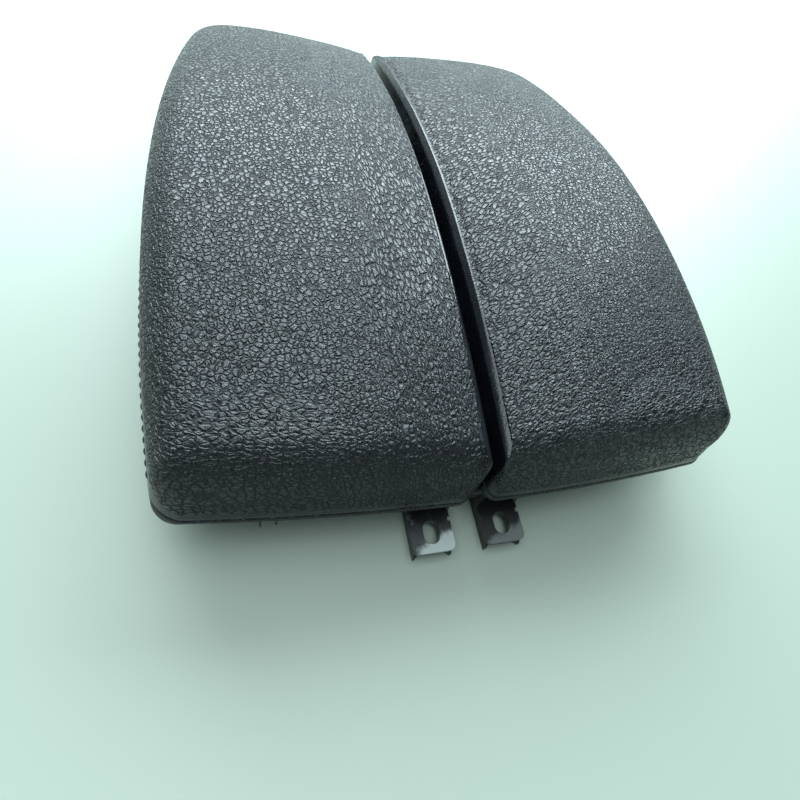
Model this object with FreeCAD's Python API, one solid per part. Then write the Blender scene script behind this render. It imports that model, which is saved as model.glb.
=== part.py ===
import FreeCAD, Part
import math
import os

# Split padded armrest: two mirrored upholstered lids on one hinge shaft, which
# two slotted steel brackets carry. Units are mm. X runs across the pair, Y from
# the hinge end to the front, Z up. Z = 0 is the plane that the rails stand on,
# and X = 0 is the middle of the slit between the lids.

V = FreeCAD.Vector
X_AXIS = V(1, 0, 0)
Y_AXIS = V(0, 1, 0)
Z_AXIS = V(0, 0, 1)

# ---- overall sizes ----
pad_length = 290.0            # one pad, hinge end to front
pad_width = 120.0             # one pad at its widest
pad_gap = 3.6                 # slit between the two pads
bracket_reach = 13.8          # rail tips stand out this far past the pads
edge_height = 23.6            # lower edge of a pad at the hinge end, above Z = 0
arch_radius = 568.0           # side profile of the pads' lower edge
arch_peak = 124.0             # hinge end to the top of that arch

# ---- pad outline, seen from above ----
hinge_end_radius = 1163.0
front_end_radius = 600.0
side_radius = 780.0
side_peak = 98.0              # hinge end to the widest point
wall_draft = 6.0              # degrees
corner_hinge_inner = 7.0
corner_hinge_outer = 10.0
corner_front_inner = 9.0
corner_front_outer = 22.0

# ---- pad layers, as heights above the arched lower edge ----
seam_height = 6.0
shoulder_height = 27.0
crown_height = 35.0
shoulder_round = 6.0
skin = 1.6                    # leather on its thin foam backing
shell_wall = 3.0
shell_top = 12.0              # top of the moulded base shell
shell_plate = 2.6
lip_drop = 0.4                # the shell's lip reaches this far under the edge
lip_rise = 0.4
lip_inset = 0.2
rib = 2.0
rib_rise = 2.0
rib_first = 66.0              # cross ribs, in from the pads' hinge end
rib_second = 115.0
rib_third = 189.0
rib_back = 52.0               # last cross rib, back from the front end
rib_inner = 36.0              # long ribs, out from the slit side
rib_outer = 76.0
cover_sheet = 2.0
cover_clear = 0.4

# ---- brackets ----
bracket_x = 16.0              # middle of each bracket from X = 0
strap_sheet = 2.0
strap_half = 9.2              # visible tab
ear_half = 9.2                # outer faces of the ears
nick_depth = 1.0              # small notch in each strap's right-hand edge
nick_length = 1.8
nick_start = 0.6              # past the pads' end
strap_end = 13.2              # tab end past the pads
strap_inner = 48.0            # strap reaches this far under the pads
strap_corner = 3.0
rail_sheet = 2.2
rail_half = 8.3
rail_height = 5.6
tip_slope = 2.6
tip_bevel = 2.4               # length over which each leg narrows to its point
tip_flat = 0.3                # width left at that point
slot_half = 3.5
slot_length = 9.6
slot_out = 5.0                # outer slot past the pads
slot_pitch = 36.0
relief = 1.0
ear_sheet = 2.0
ear_start = 3.0
ear_base = 14.0
ear_round = 4.8

# ---- hinge ----
pin_in = 10.0                 # shaft axis in from the pads' end
pin_drop = 7.0                # shaft axis under the pads' edge
shaft_radius = 3.0
bush_gap = 0.06
bush_wall = 1.14
knuckle_radius = 5.5
washer = 0.5
side_play = 0.1
outer_knuckle = 29.0          # from the bracket's middle
outer_knuckle_half = 5.0
clip_sheet = 1.2
clip_radius = 5.5
shaft_tail = 1.2
spacer_radius = 5.2
arm_sheet = 2.5
arm_gap = 0.4                 # plate over the top of the knuckles
arm_start = 6.2
arm_end = 62.0
arm_corner = 6.0
arm_margin = 1.4
lug_reach = 4.5               # knuckle lug past the shaft's axis
lug_sink = 1.0
arm_screw_first = 26.0        # in from the pads' hinge end
arm_screw_second = 52.0
screw_radius = 2.2
screw_clear = 0.3
head_radius = 4.2
head_height = 2.6
boss_radius = 5.0
thread_depth = 8.0

# ---- cover, buffers, latch ----
cover_screw_radius = 1.5
cover_screw_bite = 4.0        # thread length in the shell
cover_screw_first = 78.0      # in from the pads' hinge end
cover_screw_second = 152.0
cover_screw_back = 58.0       # back from the front end
cover_screw_inner = 16.0      # in from the slit side
cover_screw_outer = 23.8      # in from the outer side
cover_head_radius = 3.2
cover_head_height = 1.4
cover_boss_radius = 3.6
cover_counterbore = 0.8
cover_room = 2.0              # gap round the arm and the latch
buffer_radius = 8.0
buffer_foot = 6.5
buffer_neck = 3.0
buffer_neck_length = 5.0
buffer_back = 44.0            # from the front end
buffer_inner = 20.2           # in from the slit side
buffer_outer = 31.8           # in from the outer side
latch_shift = 4.8             # latch, from the pad's middle towards the slit
latch_back = 22.0
latch_drop = 4.74             # latch pin's axis under the pads' edge there
latch_pin_radius = 1.5
latch_fit = 0.05
hub_radius = 3.2
lever_half = 22.0
lever_play = 0.4
lug_sheet = 3.0
lug_round = 3.8
housing_rise = 5.2            # mounting plate over the pin's axis
housing_sheet = 2.4
housing_half = 30.0
housing_back = 14.0
housing_front = 8.0
housing_screw_x = 25.0
housing_screw_back = 9.5
housing_screw_bite = 3.5
paddle_sheet = 2.6
paddle_drop = 8.0             # paddle's underside below the pin's axis
paddle_front = 12.0
paddle_back = 5.0
hook_drop = 11.4              # hook's underside below the pin's axis
hook_barb = 4.0
barb_sheet = 2.0
weld = 0.5                    # how far the lever's plain shapes run into each other
paddle_corner = 4.0
web_half = 2.0
hook_sheet = 3.4
hook_half = 7.0
spring_wire = 0.4
spring_radius = 2.3
spring_turns = 6
spring_room = 8.0
staple_x = 80.5
staple_spread = 5.6
staple_radius = 0.4
staple_inset = 1.1            # in from the pads' hinge end
staple_drop = 3.0
staple_lean = 1.3             # how far a leg leans out over that drop
staple_gap = 0.15             # under the shell's lip

# ---- places that follow from the sizes above ----
y_hinge = bracket_reach - (pad_length + bracket_reach) / 2
y_front = y_hinge + pad_length
y_arch = y_hinge + arch_peak
z_arch_axis = edge_height - math.sqrt(arch_radius ** 2 - arch_peak ** 2)
strap_top = rail_height + strap_sheet
y_pin = y_hinge + pin_in
z_pin = edge_height - pin_drop
bush_inner = shaft_radius + bush_gap
bush_outer = bush_inner + bush_wall
ear_inner = ear_half - ear_sheet
knuckle_half = ear_inner - washer - side_play
outer_knuckle_x = bracket_x + outer_knuckle
knuckle_end = outer_knuckle_x + outer_knuckle_half
clip_start = knuckle_end + side_play + washer
shaft_half = clip_start + clip_sheet + shaft_tail
arm_bottom = z_pin + knuckle_radius + arm_gap
arm_top = arm_bottom + arm_sheet
wall_depth = skin + shell_wall
y_latch = y_front - latch_back
latch_x = pad_gap / 2 + pad_width / 2 - latch_shift


def edge_z(y):
    """Height of a pad's arched lower edge at this Y."""
    return z_arch_axis + math.sqrt(arch_radius ** 2 - (y - y_arch) ** 2)


latch_axis_height = edge_z(y_latch) - latch_drop
housing_bottom = latch_axis_height + housing_rise
paddle_bottom = latch_axis_height - paddle_drop
hook_bottom = latch_axis_height - hook_drop


def box(x0, x1, y0, y1, z0, z1):
    return Part.makeBox(x1 - x0, y1 - y0, z1 - z0, V(x0, y0, z0))


def rod(radius, height, base, direction=Z_AXIS):
    return Part.makeCylinder(radius, height, base, direction)


def tube(inner, outer, x0, x1, y, z):
    """A sleeve whose axis runs along X."""
    body = rod(outer, x1 - x0, V(x0, y, z), X_AXIS)
    return body.cut(rod(inner, x1 - x0, V(x0, y, z), X_AXIS))


def joined(shapes):
    result = shapes[0]
    for shape in shapes[1:]:
        result = result.fuse(shape)
    return result.removeSplitter()


def meeting(centre_a, radius_a, centre_b, radius_b, side):
    """Where two circles cross; side picks one of the two points."""
    gap = centre_b - centre_a
    reach = gap.Length
    along = (reach ** 2 + radius_a ** 2 - radius_b ** 2) / (2 * reach)
    across = math.sqrt(radius_a ** 2 - along ** 2)
    unit = gap / reach
    normal = V(-unit.y, unit.x, 0)
    return centre_a + unit * along + normal * (across * side)


def arc_between(centre, start, end):
    """The short arc from start to end about centre."""
    middle = (start + end) * 0.5 - centre
    middle.normalize()
    point = centre + middle * (start - centre).Length
    return Part.Arc(start, point, end).toShape()


def outline(inset, z):
    """One pad's outline, drawn in by inset and by the draft of its walls."""
    slope = math.tan(math.radians(wall_draft))
    inner_x = pad_gap / 2 + inset
    hinge_inset = inset + (z - edge_height) * slope
    front_inset = inset + (z - edge_z(y_front)) * slope
    side_inset = inset + (z - edge_z(y_arch)) * slope
    hinge_centre = V(0, y_hinge + hinge_end_radius, 0)
    front_centre = V(0, y_front - front_end_radius, 0)
    side_centre = V(pad_gap / 2 + pad_width - side_radius, y_hinge + side_peak, 0)
    hinge_r = hinge_end_radius - hinge_inset
    front_r = front_end_radius - front_inset
    side_r = side_radius - side_inset
    a = V(inner_x, hinge_centre.y - math.sqrt(hinge_r ** 2 - inner_x ** 2), 0)
    b = meeting(side_centre, side_r, hinge_centre, hinge_r, -1)
    c = meeting(side_centre, side_r, front_centre, front_r, 1)
    d = V(inner_x, front_centre.y + math.sqrt(front_r ** 2 - inner_x ** 2), 0)
    edges = [
        arc_between(hinge_centre, a, b),
        arc_between(side_centre, b, c),
        arc_between(front_centre, c, d),
        Part.LineSegment(d, a).toShape(),
    ]
    wire = Part.Wire(edges)
    wire.translate(V(0, 0, z))
    return wire


def corner_radius(point):
    front = point.y > y_arch
    outer = point.x > pad_gap / 2 + pad_width / 2
    if front:
        return corner_front_outer if outer else corner_front_inner
    return corner_hinge_outer if outer else corner_hinge_inner


def pad_prism(inset):
    """The drafted block inside one pad's walls, with its four corners rounded."""
    low = -10.0
    high = edge_z(y_arch) + crown_height + 10.0
    block = Part.makeLoft([outline(inset, low), outline(inset, high)], True, True)
    for edge in block.Edges:
        ends = [v.Point for v in edge.Vertexes]
        if abs(ends[0].z - ends[1].z) > 1.0:
            radius = max(corner_radius(ends[0]) - inset, 0.8)
            centre = edge.CenterOfMass
            found = [e for e in block.Edges if e.CenterOfMass.distanceToPoint(centre) < 0.01]
            if found:
                block = block.makeFillet(radius, found)
    return block


def swept(points):
    """An XZ outline, in heights above the edge, swept round the arch's axis."""
    z0 = z_arch_axis + arch_radius
    corners = [V(x, y_arch, z0 + h) for x, h in points]
    face = Part.Face(Part.makePolygon(corners + [corners[0]]))
    axis_point = V(0, y_arch, z_arch_axis)
    face.rotate(axis_point, X_AXIS, -24)
    return face.revolve(axis_point, X_AXIS, 48)


def band(low, high):
    """Everything between two heights above the pads' lower edge."""
    return swept([(-20, low), (160, low), (160, high), (-20, high)])


def crowned(low, drop):
    """As band, but its top is the pad's crown, lowered by drop."""
    z0 = z_arch_axis + arch_radius
    middle = pad_gap / 2 + pad_width / 2
    left = middle - pad_width / 2 - 10.0
    right = middle + pad_width / 2 + 10.0
    start = V(left, y_arch, z0 + shoulder_height - drop)
    end = V(right, y_arch, z0 + shoulder_height - drop)
    top = V(middle, y_arch, z0 + crown_height - drop)
    a = V(left, y_arch, z0 + low)
    b = V(right, y_arch, z0 + low)
    edges = [
        Part.LineSegment(a, start).toShape(),
        Part.Arc(start, top, end).toShape(),
        Part.LineSegment(end, b).toShape(),
        Part.LineSegment(b, a).toShape(),
    ]
    face = Part.Face(Part.Wire(edges))
    axis_point = V(0, y_arch, z_arch_axis)
    face.rotate(axis_point, X_AXIS, -24)
    return face.revolve(axis_point, X_AXIS, 48)


def pillow(inset, low):
    """The pad from height low up to its crown, with a rounded shoulder."""
    body = pad_prism(inset).common(crowned(low, inset)).Solids[0]
    rim = []
    for edge in body.Edges:
        centre = edge.CenterOfMass
        if centre.z > edge_z(centre.y) + shoulder_height - inset - 4.0:
            rim.append(edge)
    return body.makeFillet(shoulder_round - inset, rim)


def slot_cutter(y):
    """Cuts one bolt slot, its length along Y, through strap and rail."""
    half = slot_length / 2 - slot_half
    height = strap_top + 10.0
    ends = [rod(slot_half, height, V(bracket_x, y + s * half, -2)) for s in (-1, 1)]
    middle = box(bracket_x - slot_half, bracket_x + slot_half, y - half, y + half, -2, height - 2)
    return joined(ends + [middle])


slot_ys = [y_hinge - slot_out, y_hinge - slot_out + slot_pitch]


def make_bracket():
    """The visible strap, with two ears for the shaft folded up from it."""
    y_end = y_hinge - strap_end
    y_in = y_hinge + strap_inner
    tab = box(bracket_x - strap_half, bracket_x + strap_half, y_end, y_in, rail_height, strap_top)
    corners = []
    for edge in tab.Edges:
        middle = edge.CenterOfMass
        if abs(middle.y - y_end) < 0.01 and abs(middle.z - (rail_height + strap_top) / 2) < 0.01:
            corners.append(edge)
    pieces = [tab.makeFillet(strap_corner, corners)]
    y_ear = y_hinge + ear_start
    for side in (-1, 1):
        x0 = bracket_x + side * (ear_half + ear_inner) / 2 - ear_sheet / 2
        foot = box(x0, x0 + ear_sheet, y_ear - relief, y_in, rail_height, strap_top)
        base = [
            V(x0, y_ear, strap_top),
            V(x0, y_ear + ear_base, strap_top),
            V(x0, y_pin + ear_round, z_pin),
            V(x0, y_pin - ear_round, z_pin),
        ]
        cheek = Part.Face(Part.makePolygon(base + [base[0]])).extrude(V(ear_sheet, 0, 0))
        round_top = rod(ear_round, ear_sheet, V(x0, y_pin, z_pin), X_AXIS)
        pieces += [foot, cheek, round_top]
    bracket = joined(pieces)
    bracket = bracket.cut(rod(shaft_radius, 60, V(bracket_x - 30, y_pin, z_pin), X_AXIS))
    for y in slot_ys:
        bracket = bracket.cut(slot_cutter(y))
    return bracket


def nicked(bracket, middle):
    """Cuts the small notch that both straps have in their right-hand edge."""
    edge = middle + strap_half
    y1 = y_hinge + nick_start
    notch = box(edge - nick_depth, edge + 1, y1 - nick_length, y1, rail_height - 1, strap_top + 1)
    return bracket.cut(notch)


def make_rail():
    """The channel welded under the strap; its two legs end in points."""
    y0 = y_hinge - bracket_reach
    y1 = y_hinge + strap_inner
    rail = box(bracket_x - rail_half, bracket_x + rail_half, y0, y1, 0, rail_height)
    hollow = rail_half - rail_sheet
    rail = rail.cut(box(bracket_x - hollow, bracket_x + hollow, y0, y1, 0, rail_height - rail_sheet))
    corners = [
        V(bracket_x - 20, y0, rail_sheet),
        V(bracket_x - 20, y0 - 5, rail_sheet),
        V(bracket_x - 20, y0 - 5, rail_height + 1),
        V(bracket_x - 20, y0 + tip_slope, rail_height + 1),
        V(bracket_x - 20, y0 + tip_slope, rail_height),
    ]
    slope = Part.Face(Part.makePolygon(corners + [corners[0]])).extrude(V(40, 0, 0))
    rail = rail.cut(slope)
    for side in (-1, 1):
        inner = bracket_x + side * (hollow - 1.0)
        outer = bracket_x + side * (rail_half - tip_flat)
        bevel = [
            V(inner, y0 - 1, -1),
            V(outer, y0 - 1, -1),
            V(outer, y0, -1),
            V(inner, y0 + tip_bevel, -1),
        ]
        wedge = Part.Face(Part.makePolygon(bevel + [bevel[0]])).extrude(V(0, 0, rail_height + 2))
        rail = rail.cut(wedge)
    for y in slot_ys:
        rail = rail.cut(slot_cutter(y))
    return rail


def make_arm():
    """A steel plate with two welded knuckles that turn on the shaft."""
    x0 = bracket_x - ear_inner + arm_margin
    x1 = knuckle_end + arm_margin
    plate = box(x0, x1, y_hinge + arm_start, y_hinge + arm_end, arm_bottom, arm_top)
    corners = []
    for edge in plate.Edges:
        middle = edge.CenterOfMass
        if middle.y > y_hinge + arm_end - 0.01 and abs(middle.z - (arm_bottom + arm_top) / 2) < 0.01:
            corners.append(edge)
    pieces = [plate.makeFillet(arm_corner, corners)]
    for middle, half in knuckles:
        barrel = rod(knuckle_radius, 2 * half, V(middle - half, y_pin, z_pin), X_AXIS)
        y0 = y_hinge + arm_start
        y1 = y_pin + lug_reach
        lug = box(middle - half, middle + half, y0, y1, z_pin + lug_sink, arm_bottom)
        pieces += [barrel, lug]
    arm = joined(pieces)
    for middle, half in knuckles:
        arm = arm.cut(rod(bush_outer, 2 * half, V(middle - half, y_pin, z_pin), X_AXIS))
    for x, y in arm_screw_places:
        arm = arm.cut(rod(screw_radius + screw_clear, 20, V(x, y, arm_bottom - 10)))
    return arm


knuckles = [(bracket_x, knuckle_half), (outer_knuckle_x, outer_knuckle_half)]
arm_screw_places = []
for place_x in (bracket_x, outer_knuckle_x):
    for place_y in (y_hinge + arm_screw_first, y_hinge + arm_screw_second):
        arm_screw_places.append((place_x, place_y))

cover_screw_places = []
cover_rows = [y_hinge + cover_screw_first, y_hinge + cover_screw_second, y_front - cover_screw_back]
for place_y in cover_rows:
    for place_x in (pad_gap / 2 + cover_screw_inner, pad_gap / 2 + pad_width - cover_screw_outer):
        cover_screw_places.append((place_x, place_y))

buffer_xs = [pad_gap / 2 + buffer_inner, pad_gap / 2 + pad_width - buffer_outer]
buffer_places = [(x, y_front - buffer_back) for x in buffer_xs]
housing_screw_places = [(latch_x + s * housing_screw_x, y_latch - housing_screw_back) for s in (-1, 1)]


def make_shell():
    """The moulded base: a tray upside down, with a lip, ribs and screw bosses."""
    plate_low = shell_top - shell_plate
    outer = pad_prism(skin).common(band(-lip_drop, shell_top))
    lip = pad_prism(lip_inset).common(band(-lip_drop, lip_rise))
    inside = pad_prism(wall_depth)
    cavity = inside.common(band(-lip_drop - 1, plate_low))
    shell = outer.fuse(lip).cut(cavity)
    ribs = []
    for along in (rib_first, rib_second, rib_third):
        y = y_hinge + along
        ribs.append(box(0, 2 * pad_width, y, y + rib, -90, 180))
    y_rib_end = y_front - rib_back
    for across in (rib_inner, rib_outer):
        x = pad_gap / 2 + across
        ribs.append(box(x, x + rib, y_hinge + rib_first, y_rib_end, -90, 180))
    ribs.append(box(0, 2 * pad_width, y_rib_end - rib, y_rib_end, -90, 180))
    room = inside.common(band(rib_rise, shell_top))
    posts = []
    for x, y in arm_screw_places:
        posts.append((x, y, boss_radius, arm_top))
    for x, y in cover_screw_places:
        posts.append((x, y, cover_boss_radius, cover_seat(x, y)))
    for x, y in buffer_places:
        posts.append((x, y, boss_radius, cover_seat(x, y)))
    for x, y in housing_screw_places:
        posts.append((x, y, cover_boss_radius, housing_bottom + housing_sheet))
    grid = joined([room.common(r) for r in ribs])
    ceiling = inside.common(band(-30, shell_top))
    for x, y, radius, z in posts:
        grid = grid.fuse(rod(radius, 60, V(x, y, z)).common(ceiling))
    shell = shell.fuse(grid).removeSplitter()
    for x, y in arm_screw_places:
        shell = shell.cut(rod(screw_radius, thread_depth, V(x, y, arm_top)))
    for x, y in cover_screw_places:
        shell = shell.cut(rod(cover_screw_radius, cover_screw_bite + 1.0, V(x, y, cover_seat(x, y))))
    for x, y in buffer_places:
        shell = shell.cut(rod(buffer_neck, buffer_neck_length, V(x, y, cover_seat(x, y))))
    for x, y in housing_screw_places:
        seat = V(x, y, housing_bottom + housing_sheet)
        shell = shell.cut(rod(cover_screw_radius, housing_screw_bite + 0.5, seat))
    return shell


def cover_seat(x, y):
    """Where a post meets the cover: the highest point of its upper face there."""
    reach = max(boss_radius, cover_boss_radius)
    top = max(edge_z(y - reach), edge_z(y + reach))
    return top - lip_drop + cover_sheet


def cover_floor(y):
    """Flat spot under the cover that a screw head or a buffer seats on."""
    reach = buffer_radius
    return max(edge_z(y - reach), edge_z(y + reach)) - lip_drop + cover_counterbore / 4


def make_cover():
    """The sheet that closes the shell from below."""
    sheet = pad_prism(wall_depth + cover_clear).common(band(-lip_drop, cover_sheet - lip_drop))
    arm_edge = knuckle_end + arm_margin + 3.0
    sheet = sheet.cut(box(-1, arm_edge, y_hinge - 5, y_hinge + arm_end + cover_room, -90, 180))
    y_cut = y_latch - housing_back - cover_room
    half = housing_half + cover_room
    sheet = sheet.cut(box(latch_x - half, latch_x + half, y_cut, y_front, -90, 180))
    for x, y in cover_screw_places:
        z = cover_floor(y)
        sheet = sheet.cut(rod(cover_head_radius + 0.4, 20, V(x, y, z - 20)))
        sheet = sheet.cut(rod(cover_screw_radius + 0.2, 40, V(x, y, z - 20)))
    for x, y in buffer_places:
        z = cover_floor(y)
        sheet = sheet.cut(rod(buffer_radius + 0.4, 20, V(x, y, z - 20)))
        sheet = sheet.cut(rod(buffer_neck, 40, V(x, y, z - 20)))
    return sheet


def make_border():
    """The narrow leather strip between the seam and the shell's lip."""
    ring = pad_prism(0.0).cut(pad_prism(skin))
    return ring.common(band(lip_rise, seam_height))


def make_top():
    """The leather top: a thin skin over foam and shell, from the seam up."""
    return pillow(0.0, seam_height).cut(pillow(skin, seam_height - 4.0))


def make_foam():
    return pillow(skin, shell_top)


def screw(radius, length, head, head_z, x, y, z):
    """A plain screw that points up, its head's upper face at z."""
    shank = rod(radius, length, V(x, y, z))
    cap = rod(head, head_z, V(x, y, z - head_z))
    return shank.fuse(cap).removeSplitter()


def make_arm_screws():
    length = arm_sheet + thread_depth - 1.0
    screws = []
    for x, y in arm_screw_places:
        screws.append(screw(screw_radius, length, head_radius, head_height, x, y, arm_bottom))
    return screws


def make_cover_screws():
    screws = []
    for x, y in cover_screw_places:
        z = cover_floor(y)
        length = cover_seat(x, y) + cover_screw_bite - z
        screws.append(screw(cover_screw_radius, length, cover_head_radius, cover_head_height, x, y, z))
    return screws


def make_housing_screws():
    length = housing_sheet + housing_screw_bite
    return [
        screw(cover_screw_radius, length, cover_head_radius, cover_head_height, x, y, housing_bottom)
        for x, y in housing_screw_places
    ]


def make_buffers():
    """Rubber buffers: a tapered foot with a neck pushed into the shell."""
    buffers = []
    for x, y in buffer_places:
        z = cover_floor(y)
        foot = Part.makeCone(buffer_foot, buffer_radius, z, V(x, y, 0))
        neck = rod(buffer_neck, cover_seat(x, y) + buffer_neck_length - 0.5 - z, V(x, y, z))
        buffers.append(foot.fuse(neck).removeSplitter())
    return buffers


def make_bushes():
    return [tube(bush_inner, bush_outer, m - h, m + h, y_pin, z_pin) for m, h in knuckles]


def make_housing():
    """The plate with two lugs that holds the latch pin."""
    x0 = latch_x - housing_half
    x1 = latch_x + housing_half
    top = housing_bottom + housing_sheet
    pieces = [box(x0, x1, y_latch - housing_back, y_latch + housing_front, housing_bottom, top)]
    for side in (-1, 1):
        x = latch_x + side * (lever_half + lever_play + lug_sheet / 2) - lug_sheet / 2
        pieces.append(rod(lug_round, lug_sheet, V(x, y_latch, latch_axis_height), X_AXIS))
        y0 = y_latch - lug_round
        y1 = y_latch + lug_round
        pieces.append(box(x, x + lug_sheet, y0, y1, latch_axis_height, housing_bottom))
    housing = joined(pieces)
    housing = housing.cut(rod(latch_pin_radius, 80, V(latch_x - 40, y_latch, latch_axis_height), X_AXIS))
    for x, y in housing_screw_places:
        housing = housing.cut(rod(cover_screw_radius + 0.2, 20, V(x, y, housing_bottom - 5)))
    return housing


def make_latch_pin():
    half = lever_half + lever_play + lug_sheet
    return rod(latch_pin_radius, 2 * half, V(latch_x - half, y_latch, latch_axis_height), X_AXIS)


def make_lever():
    """Paddle and hook in one moulding, turning on the latch pin."""
    x0 = latch_x - lever_half
    x1 = latch_x + lever_half
    hub_end = x1 - spring_room
    top = paddle_bottom + paddle_sheet
    paddle = box(x0, x1, y_latch - paddle_back, y_latch + paddle_front, paddle_bottom, top)
    front = []
    for edge in paddle.Edges:
        middle = edge.CenterOfMass
        if middle.y > y_latch + paddle_front - 0.01 and abs(middle.z - top + paddle_sheet / 2) < 0.01:
            front.append(edge)
    paddle = paddle.makeFillet(paddle_corner, front)
    hub = rod(hub_radius, hub_end - x0, V(x0, y_latch, latch_axis_height), X_AXIS)
    web = box(x0, hub_end, y_latch - web_half, y_latch + web_half, top - weld, latch_axis_height)
    hook_x0 = latch_x - hook_half
    hook_x1 = latch_x + hook_half
    y_hook = y_latch - paddle_back
    shank = box(hook_x0, hook_x1, y_hook, y_hook + hook_sheet, hook_bottom, paddle_bottom + weld)
    barb = box(hook_x0, hook_x1, y_hook - hook_barb, y_hook + weld, hook_bottom, hook_bottom + barb_sheet)
    lever = joined([paddle, hub, web, shank, barb])
    bore = latch_pin_radius + latch_fit
    return lever.cut(rod(bore, 2 * lever_half, V(x0, y_latch, latch_axis_height), X_AXIS))


def make_latch_spring():
    """The latch's return spring, coiled round the pin beside the hub."""
    pitch = (spring_room - 2.4) / spring_turns
    helix = Part.makeHelix(pitch, pitch * spring_turns, spring_radius)
    profile = Part.Wire(Part.makeCircle(spring_wire, V(spring_radius, 0, 0), Y_AXIS))
    coil = Part.Wire(helix.Edges).makePipeShell([profile], True, True)
    coil.rotate(V(0, 0, 0), Y_AXIS, 90)
    coil.translate(V(latch_x + lever_half - spring_room + 1.2, y_latch, latch_axis_height))
    return coil


def make_staple():
    """The wire staple under the border; its two legs lean out below the edge."""
    y = y_hinge + staple_x ** 2 / (2 * hinge_end_radius) + staple_inset
    z = edge_z(y) - lip_drop - staple_gap - staple_radius
    lean = V(0, -staple_lean, -staple_drop)
    legs = []
    for side in (-1, 1):
        top = V(staple_x + side * staple_spread / 2, y, z)
        legs.append(rod(staple_radius, lean.Length, top, lean))
    start = V(staple_x - staple_spread / 2, y, z)
    legs.append(rod(staple_radius, staple_spread, start, X_AXIS))
    return joined(legs)


def make_shaft():
    return rod(shaft_radius, 2 * shaft_half, V(-shaft_half, y_pin, z_pin), X_AXIS)


def make_spacer():
    half = bracket_x - ear_half
    return tube(shaft_radius, spacer_radius, -half, half, y_pin, z_pin)


def make_clips():
    clips = []
    for side in (-1, 1):
        x = side * (clip_start + clip_sheet / 2) - clip_sheet / 2
        clips.append(tube(shaft_radius, clip_radius, x, x + clip_sheet, y_pin, z_pin))
    return clips


def make_washers():
    """Friction washers beside every knuckle."""
    spots = [
        bracket_x - ear_inner,
        bracket_x + ear_inner - washer,
        clip_start - washer,
    ]
    washers = []
    for x in spots:
        for start in (x, -x - washer):
            washers.append(tube(shaft_radius, knuckle_radius - 0.6, start, start + washer, y_pin, z_pin))
    return washers


def solids_of(shape):
    shapes = shape if isinstance(shape, list) else [shape]
    found = []
    for item in shapes:
        found.extend(item.Solids)
    return found


def save(name, shape):
    parts = solids_of(shape)
    whole = parts[0] if len(parts) == 1 else Part.makeCompound(parts)
    whole.exportStep("parts/" + name + ".step")
    print(name, len(parts), round(whole.Volume / 1000, 2), whole.isValid())


def save_pair(name, shape):
    """Writes the right-hand piece and its mirror image."""
    parts = solids_of(shape)
    save(name + "_right", parts)
    save(name + "_left", [p.mirror(V(0, 0, 0), X_AXIS) for p in parts])


os.makedirs("parts", exist_ok=True)

save("hinge_shaft", make_shaft())
save("shaft_spacer", make_spacer())
save("shaft_clips", make_clips())
save("friction_washers", make_washers())
save("bracket_right", nicked(make_bracket(), bracket_x))
save("bracket_left", nicked(make_bracket().mirror(V(0, 0, 0), X_AXIS), -bracket_x))
save_pair("rail", make_rail())
save_pair("hinge_arm", make_arm())
save_pair("hinge_bushes", make_bushes())
save_pair("arm_screws", make_arm_screws())
save_pair("base_shell", make_shell())
save_pair("underside_cover", make_cover())
save_pair("cover_screws", make_cover_screws())
save_pair("foam_core", make_foam())
save_pair("leather_top", make_top())
save_pair("leather_border", make_border())
save_pair("bump_stops", make_buffers())
save_pair("latch_housing", make_housing())
save_pair("housing_screws", make_housing_screws())
save_pair("latch_pin", make_latch_pin())
save_pair("latch_spring", make_latch_spring())
save_pair("latch_lever", make_lever())
save("trim_staple_left", make_staple().mirror(V(0, 0, 0), X_AXIS))
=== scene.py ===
# %% [markdown]
# # A split padded armrest
# Two leather pads lie side by side. Each one is a lid on a steel hinge, and
# each hinge ends in a slotted tab that is screwed down. The CAD frame already
# holds every hard part at its true size, so this lesson adds what CAD can't
# give: soft leather, its seams and stitches, and the finish of each surface.

# %% Load the frame
import bpy
import bmesh
import math
import numpy as np
from mathutils import Matrix, Vector


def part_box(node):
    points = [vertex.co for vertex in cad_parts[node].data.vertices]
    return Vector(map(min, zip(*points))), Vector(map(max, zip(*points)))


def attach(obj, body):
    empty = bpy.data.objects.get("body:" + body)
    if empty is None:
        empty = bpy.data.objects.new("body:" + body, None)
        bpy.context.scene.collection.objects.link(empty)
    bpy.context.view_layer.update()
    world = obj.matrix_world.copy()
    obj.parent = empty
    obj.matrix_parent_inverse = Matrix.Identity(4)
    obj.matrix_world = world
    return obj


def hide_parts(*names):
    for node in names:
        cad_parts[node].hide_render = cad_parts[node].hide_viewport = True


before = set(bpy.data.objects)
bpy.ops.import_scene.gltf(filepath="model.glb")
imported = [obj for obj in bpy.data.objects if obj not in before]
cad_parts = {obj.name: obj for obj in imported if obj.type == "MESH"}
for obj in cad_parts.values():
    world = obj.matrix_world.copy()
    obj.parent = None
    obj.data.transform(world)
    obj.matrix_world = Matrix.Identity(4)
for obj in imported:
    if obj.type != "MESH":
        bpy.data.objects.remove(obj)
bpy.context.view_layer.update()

# %% [markdown]
# Everything is in metres. The sizes below are real ones in millimetres, and
# `MM` turns them into metres where a piece is built.

# %% Units and colours
MM = 0.001


def linear(hex_colour):
    """Turn an sRGB hex colour into the linear values that a shader wants."""
    values = []
    for i in (0, 2, 4):
        c = int(hex_colour[i:i + 2], 16) / 255
        values.append(c / 12.92 if c <= 0.04045 else ((c + 0.055) / 1.055) ** 2.4)
    return (*values, 1.0)


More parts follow.
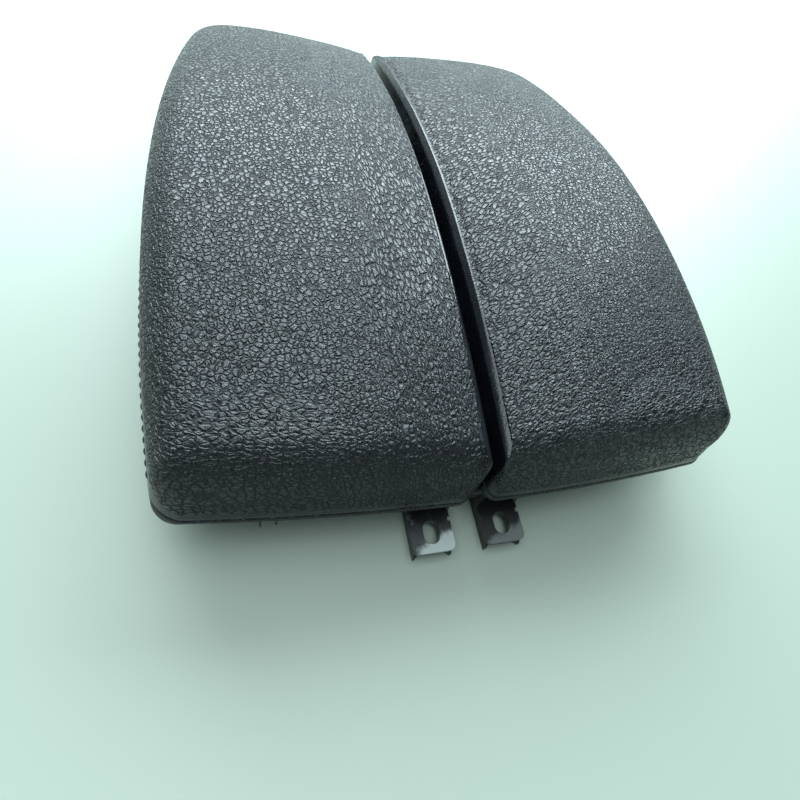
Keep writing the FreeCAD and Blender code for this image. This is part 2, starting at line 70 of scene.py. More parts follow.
# %% One helper for node trees
def node(material, kind, settings=None, inputs=None):
    """Add a node. Inputs are plain values, or the sockets that feed them."""
    tree = material.node_tree
    made = tree.nodes.new(kind)
    for name, value in (settings or {}).items():
        setattr(made, name, value)
    for key, value in (inputs or {}).items():
        if isinstance(value, bpy.types.NodeSocket):
            tree.links.new(value, made.inputs[key])
        else:
            made.inputs[key].default_value = value
    return made


def new_material(name):
    material = bpy.data.materials.new(name)
    material.use_nodes = True
    material.node_tree.nodes.clear()
    return material


def finish(material, shader, height=None, strength=0.5, distance=0.1):
    """Close a material: an optional bump, then the output."""
    if height is not None:
        bump = node(material, "ShaderNodeBump", {},
                    {"Strength": strength, "Distance": distance * MM, "Height": height})
        material.node_tree.links.new(bump.outputs[0], shader.inputs["Normal"])
    node(material, "ShaderNodeOutputMaterial", {}, {"Surface": shader.outputs[0]})
    return material


# %% [markdown]
# ## Where the pads are
# The pads follow an arch: seen from the side, their lower edge is part of a
# circle. Seen from above, their ends and outer side are shallow arcs too. The
# same radii that shaped the CAD solids set the outline here, and the outer side
# has the same draft, so the ends are wider where the arch drops.

# %% The pads' guide lines
border_low, border_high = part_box("leather_border_right")
HINGE_END = border_low[1] / MM
FRONT_END = border_high[1] / MM
HALF_SLIT = border_low[0] / MM
WIDEST = border_high[0] / MM
ARCH_RADIUS = 568.0
HINGE_TO_PEAK = 124.0         # hinge end to the top of the arch
ARCH_PEAK = HINGE_END + HINGE_TO_PEAK
EDGE_HEIGHT = 23.6            # floor to the lower edge at the hinge end
ARCH_AXIS = EDGE_HEIGHT - math.sqrt(ARCH_RADIUS ** 2 - HINGE_TO_PEAK ** 2)
HINGE_END_RADIUS = 1163.0
FRONT_END_RADIUS = 600.0
SIDE_RADIUS = 780.0
SIDE_PEAK = HINGE_END + 98.0
PAD_WIDTH = 120.0
DRAFT = math.tan(math.radians(6.0))
print("pad from y", round(HINGE_END, 1), "to", round(FRONT_END, 1), "widest", round(WIDEST, 1))


def edge_z(y):
    """Height of the pads' lower edge above the floor."""
    return ARCH_AXIS + np.sqrt(ARCH_RADIUS ** 2 - (y - ARCH_PEAK) ** 2)


def side_x(y, inset):
    """The outer side. Its drafted wall widens where the arch drops."""
    r = SIDE_RADIUS - inset
    flare = (edge_z(ARCH_PEAK) - edge_z(y)) * DRAFT
    return HALF_SLIT + PAD_WIDTH - SIDE_RADIUS + np.sqrt(r ** 2 - (y - SIDE_PEAK) ** 2) + flare


# %% [markdown]
# ## Rings round a pad
# A pad is drawn as rings stacked from its lower edge, up its walls, over the
# shoulder and in to the middle. A ring is four gentle arcs joined by rounded
# corners. Every ring has the same number of points, so neighbours join up
# into clean quads. Sides can move in by different amounts, which lets the wall
# along the slit stand upright while the others lean in.

# %% Ring geometry
SIDE_COUNTS = {"hinge": 60, "outer": 150, "front": 50, "inner": 150}
CORNER_COUNT = 14
LARGEST_SHARE = 0.49          # of a side that one rounded corner may take
ROUND_HANDLE = 0.5523         # handle length that makes a Bezier a quarter circle
SIDES = ("hinge", "outer", "front", "inner")


def side_line(side, inset, t):
    """Points of one side, t from 0 to 1, of a pad drawn in by `inset`."""
    corners = ring_corners(inset)
    order = {"hinge": (0, 1), "outer": (1, 2), "front": (2, 3), "inner": (3, 0)}[side]
    (ax, ay), (bx, by) = corners[order[0]], corners[order[1]]
    if side == "hinge":
        x = ax + (bx - ax) * t
        r = HINGE_END_RADIUS - inset["hinge"]
        return x, HINGE_END + HINGE_END_RADIUS - np.sqrt(r ** 2 - x ** 2)
    if side == "front":
        x = ax + (bx - ax) * t
        r = FRONT_END_RADIUS - inset["front"]
        return x, FRONT_END - FRONT_END_RADIUS + np.sqrt(r ** 2 - x ** 2)
    y = ay + (by - ay) * t
    if side == "inner":
        return np.full_like(y, HALF_SLIT + inset["inner"]), y
    return side_x(y, inset["outer"]), y


def ring_corners(inset):
    """The four sharp corners where the sides would meet."""
    def hinge_y(x):
        r = HINGE_END_RADIUS - inset["hinge"]
        return HINGE_END + HINGE_END_RADIUS - math.sqrt(r ** 2 - x ** 2)

    def front_y(x):
        r = FRONT_END_RADIUS - inset["front"]
        return FRONT_END - FRONT_END_RADIUS + math.sqrt(r ** 2 - x ** 2)

    inner_x = HALF_SLIT + inset["inner"]
    found = [(inner_x, hinge_y(inner_x))]
    for end_y in (hinge_y, front_y):
        x = WIDEST
        for _ in range(12):    # settles where the two arcs cross
            y = end_y(x)
            x = float(side_x(y, inset["outer"]))
        found.append((x, y))
    found.append((inner_x, front_y(inner_x)))
    return found


def ring(inset, radii):
    """One closed ring, as x and y in mm and the weight of each side."""
    corners = ring_corners(inset)
    xs, ys, weights = [], [], []
    length = {}
    for i, side in enumerate(SIDES):
        (ax, ay), (bx, by) = corners[i], corners[(i + 1) % 4]
        length[side] = math.hypot(bx - ax, by - ay)
    for i, side in enumerate(SIDES):
        after = SIDES[(i + 1) % 4]
        start = min(radii[i] / length[side], LARGEST_SHARE)
        stop = 1 - min(radii[(i + 1) % 4] / length[side], LARGEST_SHARE)
        t = np.linspace(start, stop, SIDE_COUNTS[side])
        x, y = side_line(side, inset, t)
        xs.append(x)
        ys.append(y)
        w = np.zeros((len(t), 4))
        w[:, i] = 1
        weights.append(w)
        begin = min(radii[(i + 1) % 4] / length[after], LARGEST_SHARE)
        nx, ny = side_line(after, inset, np.array([begin]))
        p0 = np.array([x[-1], y[-1]])
        p3 = np.array([nx[0], ny[0]])
        tip = np.array(corners[(i + 1) % 4])
        p1 = p0 + (tip - p0) * ROUND_HANDLE
        p2 = p3 + (tip - p3) * ROUND_HANDLE
        u = np.linspace(0, 1, CORNER_COUNT + 2)[1:-1, None]
        curve = (1 - u) ** 3 * p0 + 3 * u * (1 - u) ** 2 * p1 + 3 * u ** 2 * (1 - u) * p2 + u ** 3 * p3
        xs.append(curve[:, 0])
        ys.append(curve[:, 1])
        passed = (u * u * (3 - 2 * u))[:, 0]
        w = np.zeros((len(passed), 4))
        w[:, i] = 1 - passed
        w[:, (i + 1) % 4] = passed
        weights.append(w)
    return np.concatenate(xs), np.concatenate(ys), np.concatenate(weights)


print("points in a ring", sum(SIDE_COUNTS.values()) + 4 * CORNER_COUNT)

# %% [markdown]
# ## The pad's section
# Walls lean in as they rise, then turn over a shoulder on to the crowned top.
# `crown` is the height of the top above the arched lower edge. Each side has
# its own seam height, lean and shoulder. The wall along the slit is tall, almost
# upright and turns over sharply, so that the slit stays narrow.

# %% Section values in mm, per side: hinge, outer, front, inner
CORNERS = (7.0, 10.0, 22.0, 9.0)
SEAM = np.array([2.0, 3.0, 4.6, 5.0])
SLOPE = np.array([0.277, 0.15, 0.105, 0.0])
WALL_TOP = np.array([10.0, 18.0, 16.0, 24.0])
WALL_LEAN = np.array([2.4, 2.9, 2.6, 0.7])
SHOULDER_RUN = np.array([15.0, 14.0, 17.0, 5.0])
PAD_MIDDLE = (HALF_SLIT + WIDEST) / 2
PAD_HALF = (WIDEST - HALF_SLIT) / 2
CROWN_HEIGHT = 35.0
FALL_ACROSS = 5.0             # from the middle to either side
TILT_ACROSS = 1.4             # the outer half stands a little higher
FALL_ALONG = 3.2              # from the middle to either end
print("pad middle", round(PAD_MIDDLE, 1), "half width", round(PAD_HALF, 1))


def crown(x, y):
    """Height of the top surface above the lower edge, away from the shoulders."""
    across = (x - PAD_MIDDLE) / PAD_HALF
    along = (y - (HINGE_END + FRONT_END) / 2) / ((FRONT_END - HINGE_END) / 2)
    broad = 0.28 * np.sin(x / 17 + 1.3) * np.sin(y / 23 + 0.7)
    small = 0.16 * np.sin(x / 9) * np.sin(y / 11 + 2)
    falls = CROWN_HEIGHT - FALL_ACROSS * across ** 2 + TILT_ACROSS * across - FALL_ALONG * along ** 2
    return falls + (broad + small)


def ease(low, high, value):
    """0 below `low`, 1 above `high`, with a smooth step between."""
    t = np.clip((value - low) / (high - low), 0, 1)
    return t * t * (3 - 2 * t)


# %% [markdown]
# A mesh needs points and faces. Joining each ring to the next one, point by
# point, gives rows of quads that shade smoothly. The left-hand pad uses the
# same rings with x negated and the order turned round, so that its faces still
# point outward.

# %% Mesh from rings
def mesh_from_rings(name, rings, close_bottom=True, close_top=True, tags=None, extra=()):
    """Join equal rings into quads; `tags` holds one float list per attribute."""
    count = len(rings[0])
    points = np.concatenate(rings) * MM
    faces = []
    for k in range(len(rings) - 1):
        for i in range(count):
            j = (i + 1) % count
            faces.append((k * count + i, k * count + j, (k + 1) * count + j, (k + 1) * count + i))
    faces.extend(extra)
    if close_bottom:
        faces.append(tuple(reversed(range(count))))
    if close_top:
        faces.append(tuple(range((len(rings) - 1) * count, len(rings) * count)))
    mesh = bpy.data.meshes.new(name)
    mesh.from_pydata(points.tolist(), [], faces)
    for tag, values in (tags or {}).items():
        layer = mesh.attributes.new(tag, "FLOAT", "POINT")
        layer.data.foreach_set("value", np.asarray(values, dtype=np.float32))
    mesh.polygons.foreach_set("use_smooth", [True] * len(mesh.polygons))
    mesh.update()
    return mesh


def add_object(name, mesh, material, body):
    """A piece in the scene, riding on a body and tied to a material slot."""
    piece = bpy.data.objects.new(name, mesh)
    bpy.context.scene.collection.objects.link(piece)
    piece.data.materials.append(material)
    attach(piece, body)
    return piece


def mirrored(rings):
    """The same rings for the left-hand pad, wound the other way round."""
    flipped = []
    for r in rings:
        m = r[::-1].copy()
        m[:, 0] *= -1
        flipped.append(m)
    return flipped


# %% [markdown]
# ## Black leather
# The cover is split hide with a pebbled, embossed grain under a thin clear
# lacquer. The eye sees small cells under 2 mm across with dark creases between
# them, and smooth hide where it is stretched over an edge. The creases are the
# distance to a cell's edge, bent by noise so that no two cells match. Three
# attributes on the mesh steer them: `pull` lengthens cells beside the slit,
# `slack` lengthens them at the hinge end and `tight` smooths them away.
# The cells have their real size. Their creases are deeper than real ones, which
# are too shallow to show. In worn patches the crests turn paler, which is wear,
# while the grooves keep the dark base colour as painted shade in the creases.

# %% Leather
GRAIN_MM = 1.9
CREASE_MM = 1.785
PORE_MM = GRAIN_MM * 0.45
UNEVEN_MM = 2.6               # size of the gentle lumps under the grain
GROOVE = 0.2                  # half a groove's width, as a share of one cell
BEND = 0.0026                 # in metres; the noise moves a cell's edge by up to half of it
PULL_STRETCH = 2.3
SLACK_STRETCH = 1.8
GRAIN_DEPTH = 0.7             # in mm, for the bump


def leather_material(name, pull_angle, slack_angle, base="090C12", pale_tone="1F262E"):
    """Pebbled hide. The angles turn the long cells, in degrees from X.
    Worn crests turn paler; the darker grooves beside them are painted shade.
    """
    m = new_material(name)
    place = node(m, "ShaderNodeTexCoord").outputs["Object"]
    warp = node(m, "ShaderNodeTexNoise", {},
                {"Vector": place, "Scale": 260.0, "Detail": 2.0, "Roughness": 0.5})
    shift = node(m, "ShaderNodeVectorMath", {"operation": "SUBTRACT"},
                 {0: warp.outputs["Color"], 1: (0.5, 0.5, 0.5)})
    push = node(m, "ShaderNodeVectorMath", {"operation": "SCALE"}, {0: shift.outputs[0], "Scale": BEND})
    bent = node(m, "ShaderNodeVectorMath", {"operation": "ADD"}, {0: place, 1: push.outputs[0]}).outputs[0]

    def plates(vector, size_mm):
        cells = node(m, "ShaderNodeTexVoronoi", {"feature": "DISTANCE_TO_EDGE"},
                     {"Vector": vector, "Scale": 1 / (size_mm * MM), "Randomness": 1.0})
        return node(m, "ShaderNodeMapRange", {"interpolation_type": "SMOOTHSTEP"},
                    {"Value": cells.outputs["Distance"], "From Min": 0.0, "From Max": GROOVE}).outputs[0]

    def drawn(angle, stretch):
        return node(m, "ShaderNodeMapping", {"vector_type": "TEXTURE"},
                    {"Vector": bent, "Rotation": (0.0, 0.0, math.radians(angle)),
                     "Scale": (stretch, 0.85, 1.3)}).outputs[0]

    pebble = plates(bent, GRAIN_MM)
    pulled = plates(drawn(pull_angle, PULL_STRETCH), CREASE_MM)
    slackened = plates(drawn(slack_angle, SLACK_STRETCH), CREASE_MM)
    region = node(m, "ShaderNodeTexNoise", {}, {"Vector": place, "Scale": 30.0, "Detail": 2.0})
    patchy = node(m, "ShaderNodeMath", {"operation": "SUBTRACT"}, {0: region.outputs["Fac"], 1: 0.5})

    def mask(attribute, gain):
        tag = node(m, "ShaderNodeAttribute", {"attribute_name": attribute})
        raw = node(m, "ShaderNodeMath", {"operation": "MULTIPLY_ADD"},
                   {0: patchy.outputs[0], 1: gain, 2: tag.outputs["Fac"]})
        return node(m, "ShaderNodeMapRange", {"interpolation_type": "SMOOTHSTEP"},
                    {"Value": raw.outputs[0], "From Min": 0.3, "From Max": 0.7}).outputs[0]

    first = node(m, "ShaderNodeMix", {"data_type": "FLOAT"},
                 {"Factor": mask("pull", 1.8), 2: pebble, 3: pulled})
    grain = node(m, "ShaderNodeMix", {"data_type": "FLOAT"},
                 {"Factor": mask("slack", 1.4), 2: first.outputs[0], 3: slackened}).outputs[0]
    fine = plates(bent, PORE_MM)
    pores = node(m, "ShaderNodeMath", {"operation": "MULTIPLY_ADD"}, {0: fine, 1: 0.1, 2: grain})
    tilt = node(m, "ShaderNodeTexNoise", {}, {"Vector": bent, "Scale": 1 / (UNEVEN_MM * MM), "Detail": 2.0})
    uneven = node(m, "ShaderNodeMath", {"operation": "MULTIPLY_ADD"},
                  {0: tilt.outputs["Fac"], 1: 0.45, 2: pores.outputs[0]})
    worn = node(m, "ShaderNodeTexNoise", {},
                {"Vector": place, "Scale": 34.0, "Detail": 5.0, "Roughness": 0.62})
    tight = node(m, "ShaderNodeAttribute", {"attribute_name": "tight"})
    ragged = node(m, "ShaderNodeMath", {"operation": "MULTIPLY_ADD"},
                  {0: worn.outputs["Fac"], 1: 1.1, 2: -0.55})
    edge = node(m, "ShaderNodeMath", {"operation": "ADD"},
                {0: tight.outputs["Fac"], 1: ragged.outputs[0]})
    loose = node(m, "ShaderNodeMapRange", {"interpolation_type": "SMOOTHSTEP"},
                 {"Value": edge.outputs[0], "From Min": 0.25, "From Max": 0.95,
                  "To Min": 1.0, "To Max": 0.05})
    height = node(m, "ShaderNodeMath", {"operation": "MULTIPLY"},
                  {0: uneven.outputs[0], 1: loose.outputs[0]})
    scuffed = node(m, "ShaderNodeMapRange", {"interpolation_type": "SMOOTHSTEP"},
                   {"Value": worn.outputs["Fac"], "From Min": 0.5, "From Max": 0.74})
    # Worn crests turn paler; the grooves keep the dark base colour as painted shade in the creases.
    worn_crests_groove_shade = node(m, "ShaderNodeMath", {"operation": "MULTIPLY"}, {0: scuffed.outputs[0], 1: grain})
    tone = node(m, "ShaderNodeMix", {"data_type": "RGBA"},
                {"Factor": worn_crests_groove_shade.outputs[0], 6: linear(base), 7: linear(pale_tone)})
    polish = node(m, "ShaderNodeMapRange", {},
                  {"Value": worn.outputs["Fac"], "From Min": 0.3, "From Max": 0.7,
                   "To Min": 0.2, "To Max": 0.33})
    dull = node(m, "ShaderNodeMapRange", {},
                {"Value": grain, "From Min": 0.0, "From Max": 1.0, "To Min": 0.5, "To Max": 0.0})
    in_groove = node(m, "ShaderNodeMath", {"operation": "MULTIPLY"},
                     {0: dull.outputs[0], 1: loose.outputs[0]})
    rough = node(m, "ShaderNodeMath", {"operation": "ADD"},
                 {0: polish.outputs[0], 1: in_groove.outputs[0]})
    shader = node(m, "ShaderNodeBsdfPrincipled", {},
                  {"Base Color": tone.outputs[2], "Roughness": rough.outputs[0], "IOR": 1.5,
                   "Specular IOR Level": 0.6})
    return finish(m, shader, height.outputs[0], strength=1.0, distance=GRAIN_DEPTH)


LEATHER = {
    "left": leather_material("pebbled_hide_left", pull_angle=100, slack_angle=-16),
    "right": leather_material("pebbled_hide_right", pull_angle=36, slack_angle=14),
}
print("leather nodes", len(LEATHER["left"].node_tree.nodes))


# %% [markdown]
# ## The padded tops
# Rings run from the turned-in edge at the seam up to the middle of the pad.
# The mesh is closed underneath, so that it is a real cushion with a volume.

# %% Rings of one padded top
# Each pair is how far in and how far above the seam a ring of the hem lies.
TURNED_IN = [(3.0, -0.45), (1.2, -0.4), (0.5, -0.2), (0.16, 0.15), (0.04, 0.6), (0.1, 1.4)]
WALL_STEPS = 9
SHOULDER_STEPS = 26
TOP_STEPS = 18
SPINE_MARGIN = 38.0           # from the top's end to the spine's end
SPINE_REACH = 0.985           # the last ring stops just short of the spine
SMOOTHING_PASSES = 6


def top_rings():
    """Rings from the seam to the spine, and how tight the hide is on each point."""
    rings, tight = [], []

    def add(insets, height_of, how_tight):
        """One ring. `how_tight` has a value each for hinge, outer and front."""
        radii = [max(c - insets.mean(), 1.0) for c in CORNERS]
        x, y, w = ring(dict(zip(SIDES, insets)), radii)
        rings.append(np.stack([x, y, edge_z(y) + height_of(x, y, w)], axis=1))
        slit = 1 - ease(3.2, 4.6, x - HALF_SLIT)
        tight.append(w[:, :3] @ np.asarray(how_tight) + slit * w[:, 3])

    foot = SEAM * SLOPE
    for d, up in TURNED_IN:
        add(foot + d, lambda x, y, w: w @ SEAM + up, (1.0, 1.0, 1.0))
    wall_foot = foot + TURNED_IN[-1][0]
    low = SEAM + TURNED_IN[-1][1]
    for k in range(1, WALL_STEPS + 1):
        f = k / WALL_STEPS
        grips = (float(1 - ease(0.0, 0.7, f)), float(1 - 0.6 * ease(0.3, 1.0, f)), 1.0)
        drawn_in = wall_foot + (WALL_LEAN - wall_foot) * f
        add(drawn_in, lambda x, y, w: w @ (low + (WALL_TOP - low) * f), grips)
    for k in range(1, SHOULDER_STEPS + 1):
        turn = math.pi / 2 * k / SHOULDER_STEPS
        run, rise = 1 - math.cos(turn), math.sin(turn)

        def height_of(x, y, w):
            return w @ WALL_TOP + (crown(x, y) - w @ WALL_TOP) * rise

        fading = float(1 - ease(0.0, 0.3, run))
        add(WALL_LEAN + SHOULDER_RUN * run, height_of, (0.0, 0.4 * fading, fading))
    edge = rings[-1]
    y_low, y_high = edge[:, 1].min(), edge[:, 1].max()
    share = (edge[:, 1] - y_low) / (y_high - y_low)
    spine_y = y_low + SPINE_MARGIN + share * (y_high - y_low - 2 * SPINE_MARGIN)
    spine_x = np.full_like(spine_y, (edge[:, 0].min() + edge[:, 0].max()) / 2)
    for k in range(1, TOP_STEPS + 1):
        f = SPINE_REACH * k / TOP_STEPS
        x = edge[:, 0] + (spine_x - edge[:, 0]) * f
        y = edge[:, 1] + (spine_y - edge[:, 1]) * f
        rings.append(np.stack([x, y, edge_z(y) + crown(x, y)], axis=1))
        tight.append(np.zeros(len(x)))
    stack = np.array(rings)
    first = len(TURNED_IN)
    for _ in range(SMOOTHING_PASSES):
        middle = (stack[first - 1:-2] + 2 * stack[first:-1] + stack[first + 1:]) / 4
        stack[first:-1] = middle
    return stack, np.array(tight)


PAD_RINGS, RING_TIGHT = top_rings()
print("rings", len(PAD_RINGS), "points", PAD_RINGS.shape[0] * PAD_RINGS.shape[1])


# %% [markdown]
# Beside the slit the cover is pulled down tight. That leaves a rolled bead at
# the edge and a shallow trough behind it, plain on the right-hand pad and faint
# on the left one. Both are smooth bumps added to the rings' heights.

# %% A bead, then a trough
BEAD_HEIGHT, BEAD_AT, BEAD_SPREAD = 0.9, 2.6, 0.8
TROUGH_DEPTH, TROUGH_AT, TROUGH_SPREAD = 1.1, 5.2, 1.4
BEAD_STRENGTH = {"right": 1.0, "left": 0.35}


def with_bead(rings, strength, start):
    """Raise a bead and sink a trough along the slit side, from y = start on."""
    shaped = rings.copy()
    d = rings[:, :, 0] - HALF_SLIT
    high = ease(8.0, 11.0, rings[:, :, 2] - edge_z(rings[:, :, 1]))
    near_end = ease(start, start + 40, rings[:, :, 1])
    far_end = ease(-6, 0, FRONT_END - 30 - rings[:, :, 1])
    bead = BEAD_HEIGHT * np.exp(-((d - BEAD_AT) / BEAD_SPREAD) ** 2)
    trough = TROUGH_DEPTH * np.exp(-((d - TROUGH_AT) / TROUGH_SPREAD) ** 2)
    shaped[:, :, 2] += strength * high * near_end * far_end * (bead - trough)
    return shaped


def close_spine(mesh_rings):
    """Quads across the narrow slot that the last ring leaves, paired end to end."""
    count = len(mesh_rings[0])
    base = (len(mesh_rings) - 1) * count
    start = SIDE_COUNTS["hinge"] // 2
    if mesh_rings[0][0][0] < 0:
        start = count - start
    faces = []
    for j in range(count // 2 - 1):
        a, b = start + j, start + j + 1
        c, d = start - 2 - j, start - 1 - j
        faces.append(tuple(base + v % count for v in (a, b, c, d)))
    return faces


# %% [markdown]
# The hide doesn't look the same everywhere. It is pulled sideways beside the
# slit and lies in slack folds at the hinge end, so each point is told how much
# of either it has before the mesh is made.

# %% Build the padded tops
PULL_FADES = (20.0, 58.0)     # mm from the slit: all of it before, none after
SLACK_FADES = (10.0, 52.0)    # mm from the hinge end
SLACK_STARTS = (30.0, 75.0)   # mm from the slit: none before, all of it after


def build_top(side):
    rings = with_bead(PAD_RINGS, BEAD_STRENGTH[side], HINGE_END + 40)
    tight = RING_TIGHT
    d = rings[:, :, 0] - HALF_SLIT
    pull = 1 - ease(*PULL_FADES, d)
    slack = 1 - ease(*SLACK_FADES, rings[:, :, 1] - HINGE_END)
    slack = slack * ease(*SLACK_STARTS, d)
    rings = list(rings)
    if side == "left":
        rings = mirrored(rings)
        tight, pull, slack = tight[:, ::-1], pull[:, ::-1], slack[:, ::-1]
    tags = {"tight": tight.ravel(), "pull": pull.ravel(), "slack": slack.ravel()}
    name = "padded_top_" + side
    mesh = mesh_from_rings(name, rings, close_top=False, tags=tags, extra=close_spine(rings))
    piece = add_object(name, mesh, LEATHER[side], side + "_lid")
    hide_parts("leather_top_" + side, "foam_core_" + side)
    return piece


for pad_side in ("right", "left"):
    print(pad_side, "top faces", len(build_top(pad_side).data.polygons))


# %% [markdown]
# ## The border strip
# Below the seam a narrow strip of the same leather wraps down to the moulded
# lip. It bulges a little, and its upper edge tucks into the seam's groove.

# %% Build the border strips
SECTION_HEIGHT = 5.0          # of the section below, scaled to each side's seam
SEAM_GAP = 0.5
STRIP_TIGHTNESS = 0.8


def border_rings():
    """Rings round the strip's section, each point given as inset and height."""
    section = [(2.4, 0.55), (0.9, 0.5), (0.3, 0.75), (0.08, 1.4), (0.0, 2.4), (0.02, 3.5),
               (0.18, 4.3), (0.6, 4.75), (1.4, 4.95), (3.2, 5.0)]
    rings = []
    for d, h in section:
        heights = h * (SEAM - SEAM_GAP) / SECTION_HEIGHT
        insets = d + heights * SLOPE
        x, y, w = ring(dict(zip(SIDES, insets)), [max(c - d, 1.0) for c in CORNERS])
        rings.append(np.stack([x, y, edge_z(y) + w @ heights], axis=1))
    return rings


BORDER_RINGS = border_rings()


def build_border(side):
    rings = BORDER_RINGS if side == "right" else mirrored(BORDER_RINGS)
    rings = rings + [rings[0]]
    count = len(rings[0])
    mesh = mesh_from_rings("border_strip_" + side, rings, close_bottom=False, close_top=False,
                           tags={"tight": np.full(count * len(rings), STRIP_TIGHTNESS)})
    work = bmesh.new()
    work.from_mesh(mesh)
    bmesh.ops.remove_doubles(work, verts=work.verts, dist=1e-6)
    bmesh.ops.recalc_face_normals(work, faces=work.faces)
    work.to_mesh(mesh)
    work.free()
    piece = add_object("border_strip_" + side, mesh, LEATHER[side], side + "_lid")
    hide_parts("leather_border_" + side)
    return piece


for pad_side in ("right", "left"):
    print(pad_side, "strip faces", len(build_border(pad_side).data.polygons))

# %% [markdown]
# ## Stitches
# One row of stitches runs along the outer side, just above the seam. Each
# stitch is a short length of bonded thread that dives into the hide at both
# ends. It is a flattened capsule, a little sunk, in a 4 mm pitch.

# %% Thread
def thread_material():
    m = new_material("bonded_polyester_thread")
    place = node(m, "ShaderNodeTexCoord")
    twist = node(m, "ShaderNodeTexWave", {"bands_direction": "DIAGONAL"},
                 {"Vector": place.outputs["Object"], "Scale": 900.0, "Distortion": 1.0})
    tone = node(m, "ShaderNodeMix", {"data_type": "RGBA"},
                {"Factor": twist.outputs["Fac"], 6: linear("17191B"), 7: linear("2E3134")})
    shader = node(m, "ShaderNodeBsdfPrincipled", {},
                  {"Base Color": tone.outputs[2], "Roughness": 0.55, "IOR": 1.5})
    return finish(m, shader, twist.outputs["Fac"], strength=0.5, distance=0.05)


THREAD = thread_material()
STITCH_PITCH = 4.0
STITCH_LENGTH = 3.0
THREAD_RADIUS = 0.32
BOW = 0.34                    # how far a stitch's middle lifts
SUNK = 0.18                   # how far its ends sit in the hide
ROW_HEIGHT = 5.1              # above the pad's lower edge
ROW_INSET = 0.62
ROW_START, ROW_END = 0.045, 0.93   # as shares of the outer side's length


def stitch_row(points, normals):
    """Capsules along a path in mm, each one bowed a little off the surface."""
    step = np.linalg.norm(np.diff(points, axis=0), axis=1)
    along = np.concatenate([[0], np.cumsum(step)])
    verts, faces = [], []
    segments, rim = 8, 8
    for n in range(int(along[-1] // STITCH_PITCH)):
        begin = n * STITCH_PITCH + 0.4
        ts = np.linspace(begin, begin + STITCH_LENGTH, segments + 1)
        line = np.stack([np.interp(ts, along, points[:, k]) for k in range(3)], axis=1)
        up = np.stack([np.interp(ts, along, normals[:, k]) for k in range(3)], axis=1)
        bow = np.sin(np.linspace(0, math.pi, segments + 1))
        line = line + up * (BOW * bow - SUNK)[:, None]
        tangent = np.gradient(line, axis=0)
        tangent /= np.linalg.norm(tangent, axis=1)[:, None]
        side = np.cross(tangent, up)
        side /= np.linalg.norm(side, axis=1)[:, None]
        radius = THREAD_RADIUS * (0.45 + 0.55 * np.sqrt(bow))
        first = len(verts)
        for k in range(segments + 1):
            for a in range(rim):
                angle = 2 * math.pi * a / rim
                flat = side[k] * math.cos(angle) * radius[k] * 1.15
                tall = up[k] * math.sin(angle) * radius[k] * 0.8
                verts.append((line[k] + (flat + tall)) * MM)
        for k in range(segments):
            for a in range(rim):
                b = (a + 1) % rim
                faces.append((first + k * rim + a, first + k * rim + b,
                              first + (k + 1) * rim + b, first + (k + 1) * rim + a))
        faces.append(tuple(first + a for a in reversed(range(rim))))
        faces.append(tuple(first + segments * rim + a for a in range(rim)))
    return verts, faces


def outer_side_path(height, inset):
    """Points along the outer side, and the way that the wall faces there."""
    t = np.linspace(ROW_START, ROW_END, 300)
    x, y = side_line("outer", {s: inset for s in SIDES}, t)
    points = np.stack([x, y, edge_z(y) + height], axis=1)
    lean = math.atan(SLOPE[1])
    normals = np.tile([math.cos(lean), 0.0, math.sin(lean)], (len(x), 1))
    return points, normals


def build_stitches(side):
    points, normals = outer_side_path(ROW_HEIGHT, ROW_INSET)
    if side == "left":
        points[:, 0] *= -1
        normals[:, 0] *= -1
    verts, faces = stitch_row(points, normals)
    mesh = bpy.data.meshes.new("side_stitches_" + side)
    mesh.from_pydata([tuple(v) for v in verts], [], faces)
    mesh.polygons.foreach_set("use_smooth", [True] * len(mesh.polygons))
    mesh.update()
    return add_object("side_stitches_" + side, mesh, THREAD, side + "_lid")


for pad_side in ("right", "left"):
    print(pad_side, "stitch faces", len(build_stitches(pad_side).data.polygons))


# %% [markdown]
# ## Finishes for the hard parts
# The brackets, rails, hinge arms and shaft are steel in black electrocoat: a
# smooth dark satin, dusty in spots, and paler on each strap's free corner.
# Mouldings are black ABS with a fine spark texture, which looks matt, and the
# bushes are pale waxy acetal. Screws and latch pins are zinc-plated steel,
# cloudy and bright. Springs, clips, washers and the staple are oiled carbon
# steel, darker and glossier, and the buffers are dull carbon-black rubber.

# %% Electrocoated steel
PALE_CORNER_REACH = 7.5             # how far the pale corner reaches in from a strap's end, in mm
